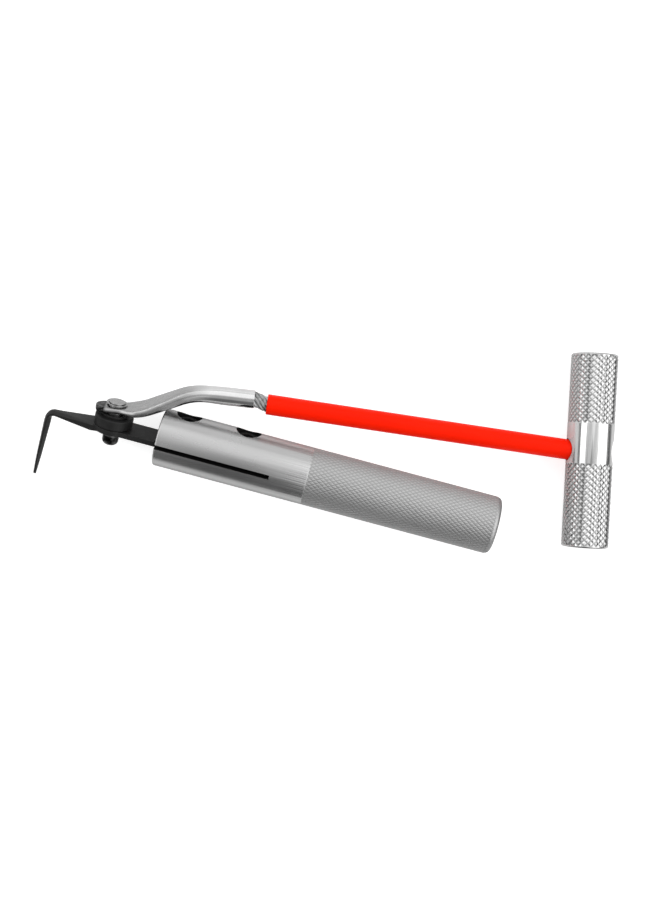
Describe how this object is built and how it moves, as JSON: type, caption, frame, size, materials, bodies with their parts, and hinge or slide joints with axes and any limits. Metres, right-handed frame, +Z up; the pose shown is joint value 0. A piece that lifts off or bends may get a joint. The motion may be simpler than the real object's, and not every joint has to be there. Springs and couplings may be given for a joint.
{
  "type": "windscreen cut-out knife",
  "caption": "Round knurled handle clamping an L-shaped hook blade, with a swinging sleeved pull cable that ends in a knurled T-handle.",
  "frame": {"origin": "centre of the handle's flat butt face", "axes": "+X along the handle, from the blade towards the butt; +Z up from the bench the tool lies on; +Y towards the side the pull cable lies on"},
  "size_m": [0.2792, 0.128, 0.028],
  "materials": {
    "handle_metal": "satin turned front, fine diamond knurl behind",
    "bar_metal": "bright plate over a coarse diamond knurl, polished middle band",
    "bright_steel": "bright plated",
    "rope_steel": "stranded wire rope",
    "black_oxide": "black oxide, semi-matte",
    "red_sleeve": "smooth soft PVC, satin gloss"
  },
  "bodies": {
    "knife": {"handle_body": "handle_metal", "hook_blade": "black_oxide", "clamp_screw_front": "black_oxide", "clamp_screw_rear": "black_oxide", "clamp_washer_front": "black_oxide", "clamp_washer_rear": "black_oxide", "pivot_screw": "bright_steel", "pivot_head_washer": "bright_steel", "pivot_strap_washer": "black_oxide", "pivot_spacer": "black_oxide"},
    "pull_lug": {"cable_lug": "bright_steel", "cable_front": "rope_steel", "sleeve_front": "red_sleeve"},
    "cable_end": {"cable_rear": "rope_steel", "sleeve_rear": "red_sleeve", "stop_washer": "bright_steel", "stop_ferrule": "bright_steel"},
    "t_handle": {"t_bar": "bar_metal"}
  },
  "joints": [
    {"name": "pull_swing", "type": "hinge", "parent": "knife", "child": "pull_lug", "pos_m": [-0.1897, 0, 0], "axis": [0, 0.9259, 0.3778], "continuous": true},
    {"name": "cable_bend", "type": "hinge", "parent": "pull_lug", "child": "cable_end", "pos_m": [-0.04426, 0.03674, 0.00114], "axis": [-0.0857, 0.9196, 0.3834], "range_deg": [-40, 40], "stiffness_Nm_per_rad": 1.5},
    {"name": "t_swivel", "type": "hinge", "parent": "cable_end", "child": "t_handle", "pos_m": [0.02416, 0.04452, -0.0022], "axis": [0.9924, 0.1127, -0.0485], "continuous": true}
  ]
}
